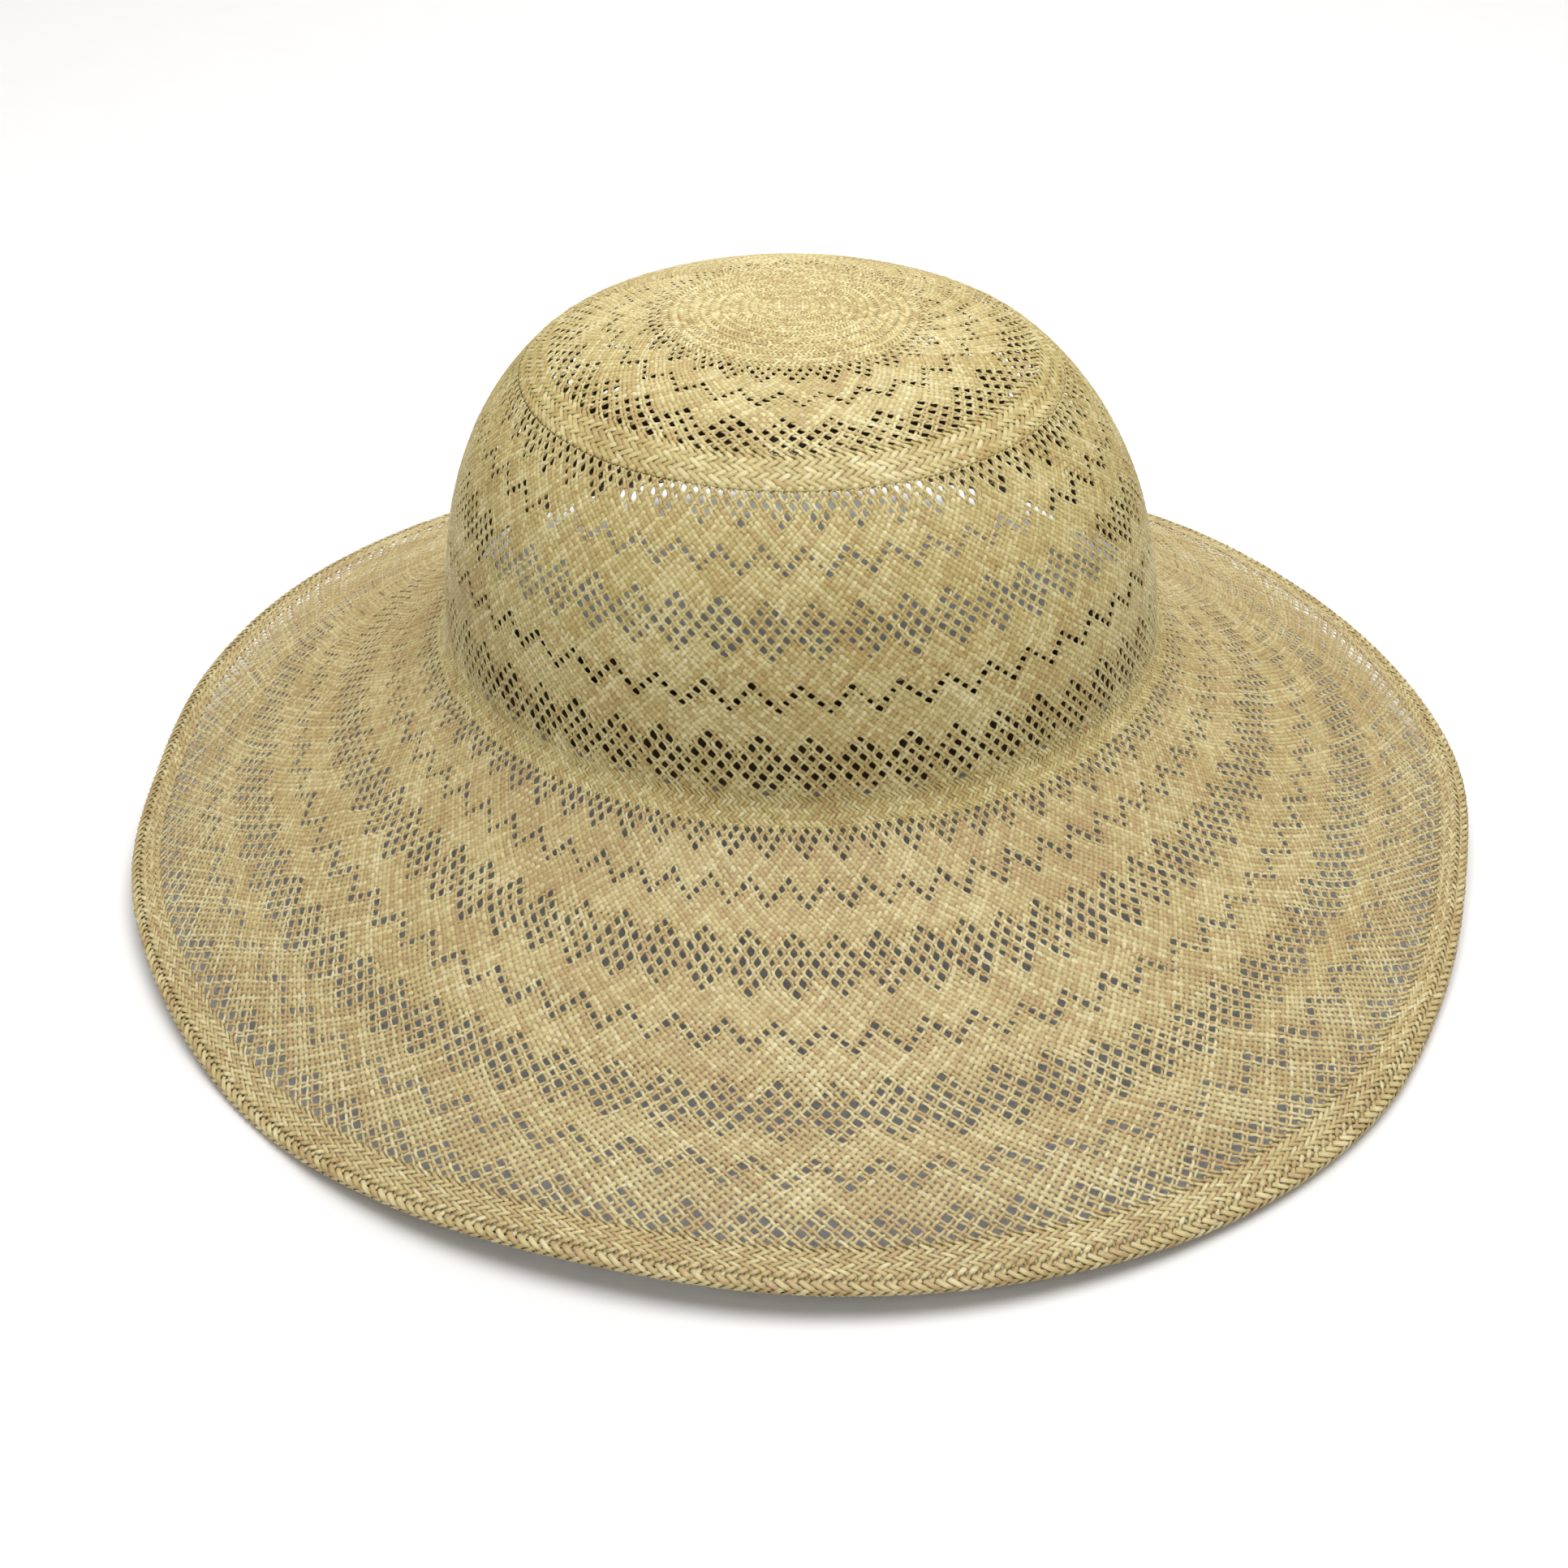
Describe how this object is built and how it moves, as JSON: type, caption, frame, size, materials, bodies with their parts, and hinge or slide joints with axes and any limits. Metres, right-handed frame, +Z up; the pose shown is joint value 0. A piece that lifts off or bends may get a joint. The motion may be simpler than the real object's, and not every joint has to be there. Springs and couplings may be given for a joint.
{
  "type": "straw sun hat",
  "caption": "Wide-brimmed openwork sun hat woven of fine natural straw, with a round crown, twill bands, a rolled back-woven edge and a sewn inner sweatband.",
  "frame": {"origin": "centre of the plane that the brim's edge rests on", "axes": "+Z up through the middle of the crown; -Y is the front of the hat"},
  "size_m": [0.4007, 0.4008, 0.1472],
  "materials": {
    "straw": "fine woven palm straw, satin",
    "sweatband_ribbon": "ribbed cotton ribbon, matt",
    "sewing_thread": "cotton thread, matt"
  },
  "bodies": {
    "root": {"crown_button": "straw", "crown_top_weave": "straw", "shoulder_band": "straw", "upper_side_weave": "straw", "middle_side_weave": "straw", "lower_side_weave": "straw", "crown_base_band": "straw", "inner_brim_weave": "straw", "middle_brim_weave": "straw", "outer_brim_weave": "straw", "rim_band": "straw", "rolled_edge": "straw", "sweatband": "sweatband_ribbon", "sweatband_stitches": "sewing_thread"}
  },
  "joints": []
}
